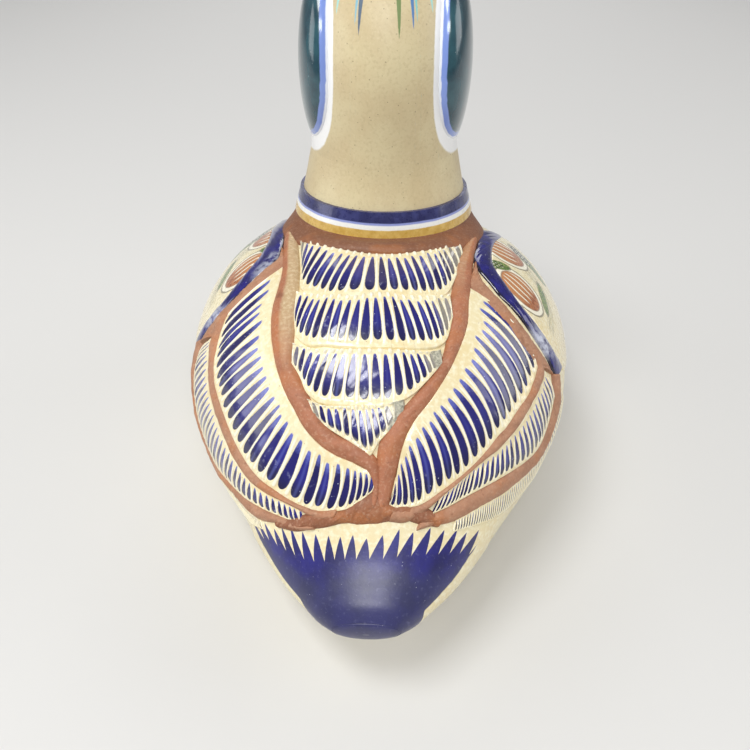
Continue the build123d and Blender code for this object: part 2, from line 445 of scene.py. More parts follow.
def stroke_finish(name, start, end, fullness, taper=0.45, thin_start=0.3, deep=1.0,
                  dark=DEEP_COBALT, bright=BRIGHT_COBALT):
    finish = Finish(name, 0.2, coat=0.6, Coat_Roughness=0.08)
    mask, share, luck, across = strokes(finish, start, end, fullness, taper)
    streaks = finish.noise(0.7)
    thin = finish.soft(share + 0.25 * (streaks - 0.5), thin_start, 0.0)
    body = finish.blend(finish.soft(luck, 0.0, 1.0), dark, bright)
    body = finish.blend(thin * 0.8, body, THIN_COBALT)
    pooled = finish.soft(share + 0.3 * (luck - 0.5), 0.6, 1.02) * deep
    body = finish.blend(pooled * 0.8, body, POOLED)
    pale_core = finish.soft(across, 0.2, 0.0) * finish.soft(luck, 0.5, 1.0) * 0.3
    body = finish.blend(pale_core, body, THIN_COBALT)
    milky = finish.patches(2.2, 0.6, 0.78, detail=5.0) * finish.soft(share, 0.35, 0.8)
    body = finish.blend(milky * 0.5, body, colour(170, 174, 204))
    pin = finish.specks(2.2, 0.1, 0.04) * 0.7
    body = finish.blend(pin, body, colour(214, 218, 236))
    rib, worn = finish.mark("rib"), finish.mark("worn")
    greyed = finish.soft(worn + 0.3 * (finish.noise(2.0) - 0.5), 0.08, 0.45)
    body = finish.blend(greyed * 0.75, body, colour(104, 102, 104))
    # Painted highlight: the rib mark turns the rib crests and beads bright cream.
    ground = finish.blend(finish.soft(rib, 0.25, 0.8), cream_ground(finish), BRIGHT_CREAM)
    dusty = greyed * finish.patches(0.8, 0.45, 0.7)
    ground = finish.blend(dusty * 0.6, ground, colour(176, 172, 152))
    painted = finish.blend(mask * (1.0 - 0.25 * greyed), ground, body)
    bare = finish.soft(worn + 0.5 * (finish.noise(3.0) - 0.5), 0.66, 0.86)
    finish.set("Base Color", worn_clay(finish, painted, bare))
    finish.set("Roughness", 0.18 + 0.16 * (1.0 - mask) + 0.5 * bare)
    finish.set("Coat Weight", 0.7 - 0.65 * bare)
    height = 0.5 * finish.noise(1.4) + 1.4 * bare * finish.noise(0.5) - 0.25 * mask
    finish.bump(height, 0.35)
    return finish.material


feather_material = stroke_finish("long feather strokes", 0.12, 0.97, 0.435, taper=0.34)
mantle_material = stroke_finish("mantle strokes", 0.06, 0.95, 0.43, taper=0.36, thin_start=0.12)
primary_material = stroke_finish("primary strokes", 0.06, 0.98, 0.42, deep=1.2)
hairline_material = stroke_finish("hairline strokes", 0.05, 0.97, 0.27, thin_start=0.3, deep=0.8,
                                  dark=colour(44, 42, 66), bright=colour(92, 92, 110))
print("stroke finishes", len(bpy.data.materials))

# %% [markdown]
# ## Bare terracotta
# The ridges between the panels were wiped clean before firing, so they are burnished clay: matt, uneven, with
# pale dust in the hollows, dark smudges and small knocks.

# %% Terracotta
def terracotta_finish(name, tone, cream_side=0.0, scuffs=0.3):
    finish = Finish(name, 0.55)
    clouds = finish.noise(6.0, detail=4.0)
    clay = finish.blend(finish.soft(clouds, 0.32, 0.66), grade(tone, DARK_TERRACOTTA, 0.3), tone)
    warm = finish.patches(13.0, 0.5, 0.68, detail=2.0) * 0.45
    clay = finish.blend(warm, clay, colour(190, 118, 64))
    clay = finish.blend(finish.patches(0.9, 0.48, 0.78) * 0.6, clay, grade(tone, PALE_CLAY, 0.6))
    clay = finish.blend(finish.patches(1.3, 0.6, 0.72) * 0.5, clay, grade(tone, DARK_TERRACOTTA, 0.8))
    dust = finish.patches(3.4, 0.58, 0.76, detail=5.0) * scuffs
    clay = finish.blend(dust, clay, PALE_CLAY)
    smudge = finish.patches(9.0, 0.64, 0.78, detail=2.0) * 0.7
    clay = finish.blend(smudge, clay, grade(tone, DARK_TERRACOTTA, 0.9))
    # Painted shade: darker clay along the ribbon's two edges, where the ridge dips into the groove beside the
    # panels.
    edge = finish.soft((finish.mark("along") - 0.5).size() + 0.1 * (finish.noise(1.5) - 0.5), 0.34, 0.52)
    if cream_side:
        uneven = finish.mark("along") + 0.12 * (finish.noise(3.0) - 0.5)
        inner = finish.soft(uneven, cream_side, cream_side - 0.2)
        beige = finish.blend(finish.patches(1.2, 0.4, 0.7), colour(186, 158, 118), colour(208, 188, 150))
        clay = finish.blend(inner * finish.mark("pale") * 0.92, clay, beige)
        edge = edge * finish.soft(finish.mark("along"), 0.4, 0.6)
    # Painted shade at the ridge's edges.
    clay = finish.blend(edge * 0.35, clay, grade(tone, DARK_TERRACOTTA, 0.8))
    finish.set("Base Color", clay)
    finish.set("Roughness", 0.4 + 0.35 * finish.noise(2.0))
    finish.bump(finish.noise(0.8, detail=4.0) + 0.9 * finish.noise(3.0), 0.6)
    return finish.material


border_material = terracotta_finish("mantle border clay", TERRACOTTA, cream_side=0.62)
ridge_material = terracotta_finish("ridge clay", colour(178, 130, 100), scuffs=0.4)
rear_material = terracotta_finish("rear clay", colour(146, 92, 62), scuffs=0.2)
ledge_material = terracotta_finish("ledge clay", colour(132, 88, 62), scuffs=0.15)
print("clay finishes", len(bpy.data.materials))

# %% [markdown]
# ## The drawing of the feathers
# The potter draws the pattern freehand, so the two wings are not mirror images. Each panel is given by guide
# strokes: where a stroke leaves the ridge above it and where it ends, as places on the map. The strokes
# between two guides are shared out evenly, which keeps the slow fan of the drawing.

# %% Guide strokes
MANTLE_1 = [
    ((20, -25.5), (12, -23.6)), ((13, -21.5), (-5, -21.6)), ((7, -16.1), (-14.6, -20.6)),
    ((3, -10.5), (-19.6, -15.4)), ((1, -5.6), (-20.7, -9.1)), ((0, -0.7), (-20, 1.1)),
    ((1, 4.2), (-18.6, 9.1)), ((4, 8.8), (-16.8, 15.1)), ((8, 13.7), (-12.6, 19.6)),
    ((12, 16.8), (-3, 21.4)), ((20, 21), (12, 22.6)),
]
MANTLE_2 = [
    ((-18.2, -21.6), (-28.7, -22.4)), ((-20.3, -17.1), (-34.3, -21.6)), ((-21.4, -13.3), (-37.8, -17.8)),
    ((-21.7, -9.1), (-38.5, -11.9)), ((-22.1, -4.5), (-39.2, -6.3)), ((-20.7, -0.3), (-38.9, 1.8)),
    ((-20, 4.2), (-37.8, 9.5)), ((-20, 8.4), (-36.4, 16.1)), ((-18.9, 13), (-34.3, 20.7)),
    ((-17.5, 16.8), (-30.8, 23.1)), ((-14.7, 20.6), (-23, 23.2)),
]
MANTLE_3 = [
    ((-37.8, -22.6), (-43.8, -23.6)), ((-39.9, -18.2), (-48, -21)), ((-41.3, -13.3), (-52.5, -18.6)),
    ((-41.3, -8.7), (-55.3, -13.3)), ((-41.3, -3.8), (-56, -4.9)), ((-41, 1.4), (-55.7, 3.9)),
    ((-40.3, 7), (-54.6, 11.2)), ((-39.6, 11.6), (-50.8, 17.3)), ((-38.9, 15.4), (-46.6, 20.6)),
    ((-38.2, 18.9), (-43, 22.6)), ((-36.4, 22.2), (-40, 24)),
]
MANTLE_4 = [
    ((-54.9, -18.4), (-58.5, -16.6)), ((-56.7, -13.3), (-61.6, -12)), ((-57.1, -8.4), (-63.6, -6.6)),
    ((-57.1, -3.1), (-65.1, -1.2)), ((-56.7, 1.1), (-67.2, 5.6)), ((-56.4, 4.6), (-64, 9)),
    ((-55.7, 8.8), (-61, 12.4)), ((-53.6, 14.6), (-56.4, 15.8)),
]
LEFT_FEATHERS = [
    ((-1.8, -28), (-15.4, -48.2)), ((-14.4, -29), (-25.2, -53.6)), ((-22.8, -30.4), (-31.2, -57.4)),
    ((-32.6, -31.1), (-37.8, -59.5)), ((-39.6, -30.8), (-44.1, -59.5)), ((-46.2, -29.7), (-52.2, -58.8)),
    ((-52.5, -27.6), (-59.9, -57.5)), ((-56.7, -25.2), (-66.9, -52.8)), ((-61.6, -21.7), (-72.7, -42.3)),
    ((-65.8, -15.7), (-77.7, -28.3)), ((-68.3, -8.7), (-79.7, -15)), ((-69.7, -0.7), (-79.3, -2.8)),
    ((-70.6, 4.2), (-77.2, 4.4)), ((-71, 9), (-75, 9.4)),
]
RIGHT_FEATHERS = [
    ((-7.4, 26.6), (-20.4, 56.4)), ((-14.7, 27.3), (-27.3, 57.4)), ((-21, 28.4), (-34, 57.4)),
    ((-27, 28.7), (-40.6, 56)), ((-33.6, 28.4), (-46.2, 55.3)), ((-39.9, 27.7), (-51.5, 53.6)),
    ((-45.5, 26.6), (-57.1, 52.2)), ((-50.1, 25.2), (-62.7, 49.4)), ((-53.9, 23.5), (-66.9, 45.5)),
    ((-57.4, 21.4), (-70.7, 40.6)), ((-61.6, 19.6), (-74.6, 34)), ((-65.5, 18.9), (-76.2, 29.1)),
    ((-69.3, 18.9), (-77.2, 23.5)), ((-73.5, 19.2), (-77.2, 18.6)),
]
LEFT_PRIMARIES = [
    ((-19.5, -57.5), (-17.5, -68)), ((-24, -59.6), (-20.5, -76.5)), ((-31.5, -62.3), (-26.6, -84.5)),
    ((-38.7, -64.6), (-33.5, -92)), ((-45.5, -65.7), (-42.5, -93.3)), ((-52.4, -65.9), (-52.4, -88.8)),
    ((-59.6, -65.2), (-61.3, -81.8)), ((-66.6, -61), (-69.4, -70.7)), ((-72.2, -51.5), (-75.7, -55.4)),
    ((-76.2, -39.6), (-79.7, -40.9)), ((-78.8, -29.8), (-82, -29.2)),
]
RIGHT_PRIMARIES = [
    ((-19.3, 61.3), (-20.8, 72.4)), ((-25.9, 62.3), (-29.1, 76.5)), ((-33.6, 62), (-36.7, 78.6)),
    ((-41, 61.6), (-45.1, 76.2)), ((-48, 59.9), (-53.3, 70.8)), ((-53.9, 57.8), (-60, 65)),
    ((-59.2, 53.9), (-65.3, 58.9)), ((-63.7, 50.4), (-69.4, 53)), ((-67.2, 47.3), (-72.6, 48.1)),
    ((-71.7, 42.4), (-75.8, 41.8)),
]
LEFT_LOWER_BAND = [
    ((-13, -75), (-12, -83)), ((-21, -83.6), (-19, -92)), ((-31, -88), (-30, -97)),
    ((-44, -97), (-44, -103)), ((-56.4, -90.6), (-57.5, -97.4)), ((-66, -82), (-68, -88.5)),
    ((-72.3, -74.5), (-75, -79)), ((-77.2, -64.4), (-79.2, -66.5)),
]
RIGHT_LOWER_BAND = [
    ((-13, 76), (-12, 84)), ((-21, 82), (-19, 91)), ((-34, 87), (-33, 95.5)),
    ((-45, 83.5), (-46, 93.4)), ((-54, 79), (-57, 88.5)), ((-62.4, 72.5), (-66.5, 79.5)),
    ((-68.5, 65), (-72.2, 69.5)), ((-74.5, 56), (-77, 58.5)),
]
print("guides", len(LEFT_FEATHERS), "left,", len(RIGHT_FEATHERS), "right")


# %% [markdown]
# ## A panel of carved strokes
# The strokes are shallow grooves that the glaze fills, with narrow ribs standing between them. The groove is
# real shape here, worked out with the same sums as its colour, so the light catches each rib and bead. Every
# panel carries four marks: the share along the strokes, the stroke's number, the rib's height and the wear;
# the rib's height also sets a painted highlight, bright cream on the rib crests and beads.

# %% Panels
def between(ends, share):
    """Places between guides that are evenly spaced, going on in a straight line past the last one."""
    spots = np.linspace(0, 1, len(ends))
    ends = np.array(ends, float)
    held = np.clip(share, 0, 1)
    inside = np.stack([eased(spots, ends[:, k], held) for k in (0, 1)], -1)
    first, last = (ends[1] - ends[0]) * (len(ends) - 1), (ends[-1] - ends[-2]) * (len(ends) - 1)
    return inside + (share - held)[..., None] * np.where(share[..., None] < 0.5, first, last)


def panel(name, guides, count, fine, material, ground=1.15, rib=0.35, bead=0.0, bow=0.0,
          spare=(0.03, 0.03, 0.06, 0.09), worn=None):
    """A slab of carved strokes that follow guides; fine is its grid, around and along the strokes."""
    u = np.linspace(-spare[0], 1 + spare[1], fine[0])[:, None] + np.zeros(fine[1])
    v = np.linspace(-spare[2], 1 + spare[3], fine[1])[None, :] + 0 * u
    swung = u + bow * np.sin(np.pi * np.clip(v, 0, 1))
    start = between([g[0] for g in guides], swung)
    end = between([g[1] for g in guides], swung)
    spots = start + (end - start) * v[..., None]
    strand = u * count
    across = np.abs((strand % 1) - 0.5)
    held = np.clip(v, 0, 1)
    hollow = ease(held, 0.05, 0.3) * ease(1 - held, 0.0, 0.06)
    crest = ease(across, 0.32, 0.46)
    heads = bead * ease(across, 0.18, 0.46) * np.exp(-((v - 0.015) / 0.055) ** 2)
    swell = 0.3 * np.sin(np.pi * held)
    lift = ground + swell + rib * (crest - 0.5) * hollow + heads + 0.1 * wobble(3 * u, 3 * v, count)
    inner = (u + spare[0]) / (1 + spare[0] + spare[1])
    reach = (v + spare[2]) / (1 + spare[2] + spare[3])
    inside = edge_dip(inner, reach, 0.02, 0.03)
    lift = lift * inside - 0.3 * (1 - inside)
    wear = np.zeros_like(u) if worn is None else worn(u, v)
    # The rib mark is the rib's height, and its finish paints a highlight on the crests and beads with it.
    marks = {"along": v, "strand": strand, "rib": crest * hollow + 1.5 * heads, "worn": wear}
    piece = slab(name, spots[..., 0], spots[..., 1], lift, marks, [name])
    piece.data.materials.append(material)


def at_ends(low, high, from_below=0.0):
    """Wear that grows towards the first and last strokes and the strokes' ends."""
    def wear(u, v):
        sides = low * ease(0.16 - u, 0, 0.16) + high * ease(u - 0.78, 0, 0.2)
        return np.clip(sides + from_below * ease(v, 0.75, 1.0), 0, 1)
    return wear


# %% [markdown]
# ## The mantle
# Four rows of short feathers cover the middle of the back. Each barb ends in a small bead that stood proud
# of the mould, and bright cream is painted on the beads as a highlight.

# %% Mantle rows
MANTLE_ROWS = [
    (MANTLE_1, 24, (480, 84), 0.8, at_ends(0.62, 0.45)),
    (MANTLE_2, 20, (420, 72), 1.0, at_ends(0.1, 0.45)),
    (MANTLE_3, 18, (400, 66), 1.0, at_ends(0.3, 0.95)),
    (MANTLE_4, 12, (280, 60), 1.0, at_ends(0.5, 0.95, 0.62)),
]
for row, (guides, count, fine, bead, worn) in enumerate(MANTLE_ROWS, 1):
    panel(f"mantle_row_{row}", guides, count, fine, mantle_material, bead=bead, worn=worn)

# %% [markdown]
# ## The wings
# A wing is two panels of feathers. The broad upper one has long strokes that fan round the body; the narrow
# one below it has many short diagonal ones, and under that a fringe of hairlines runs out on the flank.

# %% Wing panels
for hand, guides, count in (("left", LEFT_FEATHERS, 26), ("right", RIGHT_FEATHERS, 21)):
    swing = 0.012 if hand == "left" else -0.012
    panel(hand + "_secondaries", guides, count, (480, 104), feather_material,
          rib=0.45, bow=swing, spare=(0.02, 0.02, 0.04, 0.05))
for hand, guides, count in (("left", LEFT_PRIMARIES, 32), ("right", RIGHT_PRIMARIES, 28)):
    panel(hand + "_primaries", guides, count, (640, 44), primary_material, ground=1.0, rib=0.4)
for hand, guides, count in (("left", LEFT_LOWER_BAND, 60), ("right", RIGHT_LOWER_BAND, 56)):
    panel(hand + "_lower_band", guides, count, (720, 30), hairline_material, ground=0.9, rib=0.24)

# %% [markdown]
# ## Ridges between the panels
# Each ridge is a rounded coil of clay, thumbed flat and uneven. A ribbon follows its two edges; its height
# is a low arch across the ribbon, and slow waves along it keep it from looking extruded.

# %% Ribbons
def ribbon(name, inner, outer, fine, material, nodes=None, top=2.1, low=0.2,
           lumps=0.25, square=0.55, pale=None, over=0.03, knock=0.12):
    """A rounded ridge between two lines of map points, in place of its own CAD node or the nodes given."""
    u = np.linspace(0, 1, fine[0])[:, None] + np.zeros(fine[1])
    v = np.linspace(-over, 1 + over, fine[1])[None, :] + 0 * u
    first, second = curve(inner, u), curve(outer, u)
    spots = first + (second - first) * v[..., None]
    reach = (v + over) / (1 + 2 * over)
    arch = np.clip(np.sin(np.pi * reach), 0, 1) ** square
    knocks = knock * np.sin(90 * u + 5 * v + 2 * np.sin(37 * u)) * np.sin(61 * u - 3 * v)
    lift = low + (top - low) * arch + (lumps * wobble(4 * u, 2 * v, top + len(name)) + knocks) * arch
    lift = lift * ease(u, 0, 0.01) * ease(1 - u, 0, 0.01) - 0.6 * (1 - arch)
    marks = {"along": v, "pale": np.zeros_like(u) if pale is None else pale(u, v)}
    stands_for = [name] if nodes is None else nodes
    piece = slab(name, spots[..., 0], spots[..., 1], lift, marks, stands_for)
    piece.data.materials.append(material)


BORDER_LEFT_IN = [(44, -27.5), (32.9, -27.6), (15.4, -25.3), (3.5, -23.4), (-9.1, -22), (-19.3, -21.7),
                  (-28.7, -22.4), (-36.4, -23.1), (-43.4, -23.6), (-48.7, -21.3), (-52.9, -19.2),
                  (-56.4, -16.8), (-60.2, -13.6), (-63.7, -8), (-65.1, -1.4), (-66.5, 4.6), (-69, 10.5),
                  (-73, 13), (-79, 13.5)]
BORDER_LEFT_OUT = [(44, -33), (32.9, -32.4), (15.4, -30.2), (3.5, -29), (-8, -28.3), (-14.4, -29),
                   (-22.8, -30.4), (-32.6, -31.1), (-39.6, -30.8), (-46.2, -29.7), (-52.5, -27.6),
                   (-56.7, -25.2), (-61.6, -21.7), (-65.8, -15.7), (-68.3, -8.7), (-69.7, -0.7),
                   (-70.6, 4.2), (-73.4, 8.8), (-79, 8.6)]
BORDER_RIGHT_IN = [(44, 25), (28.3, 24), (14.7, 22.4), (4.9, 21.2), (-9.1, 21.4), (-16.5, 21.7),
                   (-22.4, 22.8), (-30.1, 23.5), (-40.6, 23.5), (-45.9, 21.7), (-49.7, 19.6),
                   (-53.9, 16.8), (-57.4, 14), (-61.6, 11.6), (-65.1, 9.4), (-69, 9.5), (-79, 11)]
BORDER_RIGHT_OUT = [(44, 30), (24.8, 27.2), (12.2, 26.4), (2.8, 26.4), (-8.1, 27), (-14.7, 27.3),
                    (-21, 28.4), (-27, 28.7), (-33.6, 28.4), (-39.9, 27.7), (-45.5, 26.6), (-50.1, 25.2),
                    (-53.9, 23.5), (-57.4, 21.4), (-61.6, 19.8), (-67.5, 19), (-79, 19)]
ribbon("border_left", BORDER_LEFT_IN, BORDER_LEFT_OUT, (420, 36), border_material,
       nodes=["mantle_border"], pale=lambda u, v: ease(0.66 - u, 0, 0.2))
ribbon("border_right", BORDER_RIGHT_IN, BORDER_RIGHT_OUT, (420, 36), border_material,
       nodes=[], pale=lambda u, v: 0.35 * ease(0.5 - u, 0, 0.2))

WING_LEFT_OUT = [(-12.5, -57), (-19.5, -57.9), (-24, -60), (-31.5, -62.6), (-38.7, -64.8), (-45.5, -65.9),
                 (-52.4, -66.1), (-59.6, -65.4), (-66.6, -61.2), (-72.2, -51.7), (-76.2, -39.8),
                 (-79.2, -29), (-82, -18), (-82, -8)]
WING_LEFT_IN = [(-14, -46), (-19.5, -51), (-25.2, -53.6), (-31.2, -57.2), (-37.8, -59.2), (-44.1, -59.2),
                (-52.2, -58.5), (-59.9, -57.2), (-66.9, -52.5), (-72.7, -42), (-75.4, -35.5), (-77.7, -28),
                (-79.5, -15), (-79.2, -6)]
WING_RIGHT_OUT = [(-14.5, 55), (-19.3, 61.5), (-25.9, 62.5), (-33.6, 62.2), (-41, 61.8), (-48, 60.1),
                  (-53.9, 58), (-59.2, 54.1), (-63.7, 50.6), (-67.2, 47.5), (-71.7, 42.8), (-76, 38),
                  (-80, 30), (-81, 20)]
WING_RIGHT_IN = [(-17.8, 50), (-21, 56.2), (-27.3, 57.2), (-34, 57.2), (-40.6, 55.8), (-46.2, 55.1),
                 (-51.5, 53.4), (-57.1, 52), (-62.7, 49.2), (-66.9, 45.3), (-70.7, 40.4), (-74.6, 33.8),
                 (-76.2, 28.9), (-77.2, 20)]
LOWER_LEFT_IN = [(-13, -63), (-17.5, -68.2), (-20.5, -76.7), (-26.6, -84.7), (-33.5, -92.2), (-42.5, -93.5),
                 (-52.4, -89), (-61.3, -82), (-69.4, -70.9), (-75.7, -55.6), (-79.7, -41.1), (-82, -29.4),
                 (-83, -20)]
LOWER_LEFT_OUT = [(-10, -70), (-13, -76), (-21, -84.6), (-31, -89), (-37, -94.6), (-44, -97.5),
                  (-56.4, -91), (-66, -82.4), (-72.3, -74.8), (-77.2, -64.8), (-80.7, -48.3), (-83.6, -33),
                  (-84, -20)]
LOWER_RIGHT_IN = [(-15, 66), (-20.8, 72.6), (-29.1, 76.7), (-36.7, 78.8), (-45.1, 76.4), (-53.3, 71),
                  (-60, 65.2), (-65.3, 59.1), (-69.4, 53.2), (-72.6, 48.3), (-75.8, 42), (-79, 36)]
LOWER_RIGHT_OUT = [(-10, 70), (-14, 77), (-21, 83), (-34, 88), (-45, 84.5), (-54, 80), (-62.4, 73.5),
                   (-68.5, 66), (-74.5, 57), (-77, 51), (-79, 44), (-81.5, 36)]
for hand, lines in (("left", (WING_LEFT_IN, WING_LEFT_OUT, LOWER_LEFT_IN, LOWER_LEFT_OUT)),
                    ("right", (WING_RIGHT_IN, WING_RIGHT_OUT, LOWER_RIGHT_IN, LOWER_RIGHT_OUT))):
    ribbon(hand + "_wing_ridge", lines[0], lines[1], (420, 24), ridge_material)
    ribbon(hand + "_lower_ridge", lines[2], lines[3], (420, 20), ridge_material, top=1.9)

REAR_IN = [(-79.5, -48), (-80.5, -34), (-80.2, -24.8), (-79.6, -16.1), (-79.2, -2.8), (-76.4, 4.9),
           (-74.6, 9.1), (-73.9, 13.7), (-76.8, 20), (-75.9, 28.4), (-75.4, 38), (-76.5, 48)]
REAR_OUT = [(-81.8, -48), (-83.8, -34), (-83.9, -24), (-83.6, -14), (-82.6, -2), (-82.6, 6), (-82.2, 10),
            (-82, 14), (-81, 20), (-79.8, 27), (-79.6, 38), (-78.6, 48)]
ribbon("rear_band", REAR_IN, REAR_OUT, (300, 30), rear_material, top=2.0, lumps=0.4)

# %% [markdown]
# ## The shoulders
# In front of each wing a terracotta ridge and a wide stripe of cobalt curl over the shoulder, and outside the
# stripe is a panel of painted flowers. The stripe is glaze on a low crown; its rear end is scuffed grey.

# %% Shoulder ridges and stripes
SHOULDER_LOW = {
    "left": [(9, -28.3), (-1.4, -27.6), (-7.4, -34.3), (-13.3, -42.3), (-17.2, -47.6), (-20, -51.4),
             (-20, -55)],
    "right": [(6, 26.4), (-7, 26.6), (-12.3, 33.3), (-16.1, 39.6), (-19.6, 46.6), (-20.6, 52.9), (-20.5, 57)],
}
SHOULDER_HIGH = {
    "left": [(14, -30.2), (5.6, -31), (0.5, -36.5), (-5.3, -42), (-8.8, -48), (-10.5, -55), (-11.8, -62),
             (-13, -69)],
    "right": [(12, 26.8), (1, 30), (-3.2, 34.2), (-7.4, 40.6), (-10.8, 47), (-12.8, 53), (-14, 60),
              (-14.4, 68)],
}
STRIPE_IN = {
    "left": [(44, -32), (31.8, -32.6), (14.7, -30.8), (5.9, -31.7), (1, -36), (-4.2, -41), (-7.7, -46.5),
             (-10.2, -52.5), (-11.2, -58.5), (-12, -64), (-13.6, -70)],
    "right": [(44, 30), (24.8, 27.6), (12.2, 26.9), (7, 28.8), (2.4, 32.3), (-1.8, 36), (-4.9, 41.5),
              (-8.1, 47.5), (-10.6, 53.5), (-12, 60), (-13, 66), (-13.6, 70)],
}
STRIPE_OUT = {
    "left": [(53, -43), (39.9, -40), (20.6, -37.2), (12.9, -38.1), (6.6, -41.5), (0.3, -46), (-3.7, -51),
             (-5.6, -56.5), (-6.4, -62), (-6.4, -68), (-5, -72)],
    "right": [(53, 40), (33.6, 33.5), (21.3, 32), (13.3, 32.9), (6.3, 37), (1.4, 41.2), (-2.1, 46.6),
              (-4.2, 52.4), (-5.6, 58.5), (-5.9, 65), (-5, 72)],
}


def stripe_finish():
    """Thick cobalt glaze with a thin black rim, pin holes, and a bare scuffed end."""
    finish = Finish("stripe glaze", 0.16, coat=0.7, Coat_Roughness=0.05)
    along = finish.mark("along")
    deep = finish.blend(finish.patches(5.0, 0.3, 0.75), DEEP_COBALT, BRIGHT_COBALT)
    side = (along - 0.5).size()
    deep = finish.blend(finish.soft(side + 0.1 * finish.noise(1.5), 0.5, 0.6), deep, POOLED)
    deep = finish.blend(finish.specks(2.4, 0.09, 0.04) * 0.9, deep, colour(225, 228, 240))
    scuff = finish.mark("pale") * finish.patches(3.0, 0.3, 0.6, detail=5.0)
    base = finish.blend(scuff, deep, colour(176, 180, 196))
    finish.set("Base Color", base)
    finish.set("Roughness", 0.14 + 0.45 * scuff)
    finish.bump(finish.noise(4.0) + 0.2 * finish.noise(0.9), 0.3)
    return finish.material


def scuffed(hand):
    """Bare glaze near the stripe's rear end and, on the left, a worn spot half way along its low side."""
    worn_spot = 0.8 if hand == "left" else 0.0

    def wear(u, v):
        middle = ease(u, 0.38, 0.46) * ease(0.62 - u, 0, 0.1) * ease(0.5 - v, 0, 0.3)
        return ease(u, 0.72, 0.8) * ease(0.93 - u, 0, 0.08) + worn_spot * middle
    return wear


stripe_material = stripe_finish()
for hand in ("left", "right"):
    ribbon(hand + "_shoulder_ridge", SHOULDER_LOW[hand], SHOULDER_HIGH[hand], (260, 30), ridge_material,
           top=1.9, lumps=0.3)
    ribbon(hand + "_shoulder_stripe", STRIPE_IN[hand], STRIPE_OUT[hand], (300, 26), stripe_material,
           top=1.5, low=0.7, lumps=0.15, square=0.4, over=0.1, knock=0.0,
           pale=scuffed(hand))

# %% [markdown]
# ## Painted flowers
# The outer panel of each shoulder is brush work on cream: rust-brown petals with fine lines scratched back to
# the slip, and green leaves outlined in black with rows of dots. The marks here are plain distances on the
# clay, so each petal or leaf is an ellipse with a centre, a length, a width and a lean, and the thin blades
# of grass are rings of one large ellipse.

# %% Flower panels
FULL_TURN = 6.2832
SCRATCH_LINES = 2.6
BLADE_LINES = 94.0
OUTLINE = 1.26
FLOWER_OUT = [(53, 43), (61, 50), (58, 62), (42, 73), (18, 77), (4, 78), (-5, 74)]
SPAN = 1.3


def oval(finish, y, s, centre, half, lean):
    """Distance from an ellipse's middle, 1 on its line, and the places along and across it."""
    c, d = math.cos(math.radians(lean)), math.sin(math.radians(lean))
    dy, ds = y - centre[0], s - centre[1]
    along = (dy * c + ds * d) / half[0]
    across = (ds * c - dy * d) / half[1]
    return (along * along + across * across) ** 0.5, along, across


def scratches(finish, edge, along, across):
    """Long curved lines that run from end to end of a petal, as lines of longitude do."""
    bow = across / (1.3 - along * along).most(0.05) ** 0.5
    comb = (bow * SCRATCH_LINES * FULL_TURN + 0.5 * along).wave()
    return finish.soft(comb, 0.5, 0.85) * finish.soft(edge, 0.96, 0.84) * finish.soft(along, 0.62, 0.3)


def flower_finish():
    """Petals, leaves and blades of paint on the cream, each with a dark outline drawn just off it."""
    finish = Finish("painted flowers", 0.26, coat=0.5, Coat_Roughness=0.12)
    y, s = finish.mark("flower_y"), finish.mark("flower_s")
    shake = 0.9 * (finish.noise(2.2) - 0.5)
    paint = cream_ground(finish)
    sienna = finish.blend(finish.patches(2.0, 0.35, 0.7), colour(150, 84, 46), colour(190, 122, 74))
    green = finish.blend(finish.patches(1.4, 0.4, 0.65), colour(74, 108, 40), colour(140, 158, 78))
    olive = colour(120, 128, 66)
    black = colour(32, 34, 26)
    edge, along, across = oval(finish, y, s, *BLADES)
    edge = edge + 0.03 * shake
    sheaf = finish.soft(edge, 0.8, 0.84) * finish.soft(edge, 1.16, 1.12) * finish.soft(along, -0.15, 0.1)
    sheaf = sheaf * finish.soft(across, 0.0, 0.12)
    blades = finish.soft((edge * BLADE_LINES).wave() + 0.5 * finish.noise(6.0), 0.6, 0.95) * sheaf
    paint = finish.blend(blades * 0.85, paint, finish.blend(finish.patches(4.0, 0.4, 0.6), olive, black))
    for centre, half, lean in PETALS:
        edge, along, across = oval(finish, y, s, centre, half, lean)
        edge = edge + 0.06 * shake
        inside = finish.soft(edge, 1.03, 0.96)
        body = finish.blend(finish.soft(along, -0.2, 0.7), colour(194, 132, 84), sienna)
        petal = finish.blend(scratches(finish, edge, along, across) * 0.9, body, BRIGHT_CREAM)
        gap = finish.soft(edge, 1.3, 1.22)
        paint = finish.blend(gap, paint, BRIGHT_CREAM)
        paint = finish.blend(inside, paint, petal)
        rim = finish.soft((edge - OUTLINE).size(), 0.07, 0.02) * 0.75
        paint = finish.blend(rim, paint, colour(86, 74, 44))
        lip = finish.soft((edge - 1.0).size(), 0.05, 0.01) * 0.6
        paint = finish.blend(lip, paint, colour(120, 70, 40))
    for centre, half, lean, dotted in LEAVES:
        edge, along, across = oval(finish, y, s, centre, half, lean)
        edge = edge + 0.1 * shake
        inside = finish.soft(edge, 1.02, 0.94)
        core = finish.soft(edge + 0.5 * along, 0.85, 0.6) * dotted
        dots = finish.soft((along * 15.0).wave() * (across * 9.0 + 1.6).wave(), 0.3, 0.5)
        middle = finish.blend(dots, black, colour(236, 234, 210))
        vein = finish.soft(across.size(), 0.12, 0.04) * 0.6
        blade = finish.blend(vein, green, black)
        paint = finish.blend(inside, paint, finish.blend(core, blade, middle))
        rim = finish.soft((edge - 1.04).size(), 0.09, 0.03)
        paint = finish.blend(rim * 0.6, paint, black)
    finish.set("Base Color", paint)
    finish.set("Roughness", 0.2 + 0.16 * finish.noise(2.0))
    finish.bump(finish.noise(1.5), 0.3)
    return finish.material


